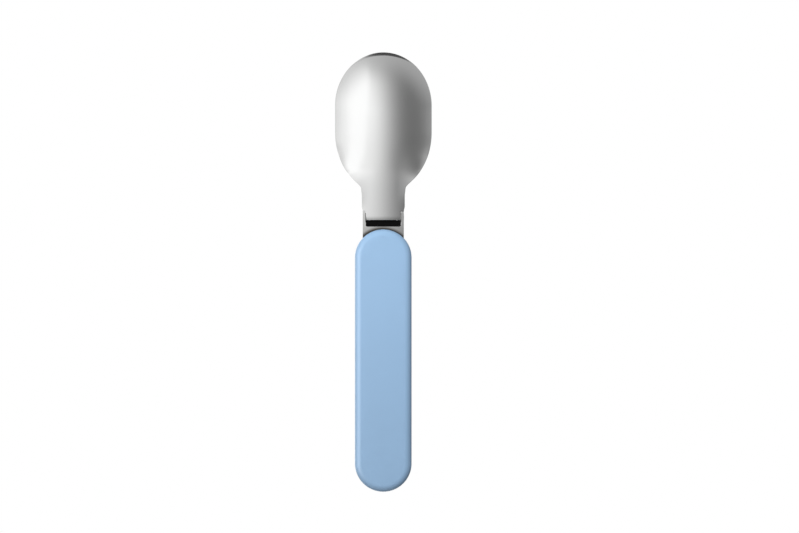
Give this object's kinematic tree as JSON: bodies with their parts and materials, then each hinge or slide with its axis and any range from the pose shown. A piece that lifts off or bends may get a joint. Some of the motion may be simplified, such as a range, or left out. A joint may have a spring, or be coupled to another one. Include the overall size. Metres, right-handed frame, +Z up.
{
  "type": "folding spoon",
  "caption": "Pocket spoon whose pressed steel bowl and neck fold on a hinge pin over a flat round-ended blue plastic handle.",
  "frame": {"origin": "on the surface that the spoon lies on, under the middle of the open spoon's box", "axes": "+Y from the handle to the tip of the bowl, +Z up, on the hollow side of the bowl, +X across the spoon"},
  "size_m": [0.0364, 0.1649, 0.009],
  "materials": {
    "head_steel": "satin polish",
    "bracket_steel": "satin polish",
    "pin_steel": "turned and peened",
    "handle_plastic": "fine satin moulding",
    "spring_plastic": "smooth moulding",
    "washer_plastic": "smooth sheet"
  },
  "bodies": {
    "handle": {"handle_back_shell": "handle_plastic", "handle_front_shell": "handle_plastic", "hinge_bracket": "bracket_steel", "hinge_pin": "pin_steel", "left_hinge_washer": "washer_plastic", "right_hinge_washer": "washer_plastic", "click_spring": "spring_plastic"},
    "head": {"spoon_head": "head_steel"}
  },
  "joints": [
    {"name": "head_fold", "type": "hinge", "parent": "handle", "child": "head", "pos_m": [0, 0.02028, 0.007], "axis": [1, 0, 0], "range_deg": [0, 176], "deforming": ["click_spring"]}
  ]
}
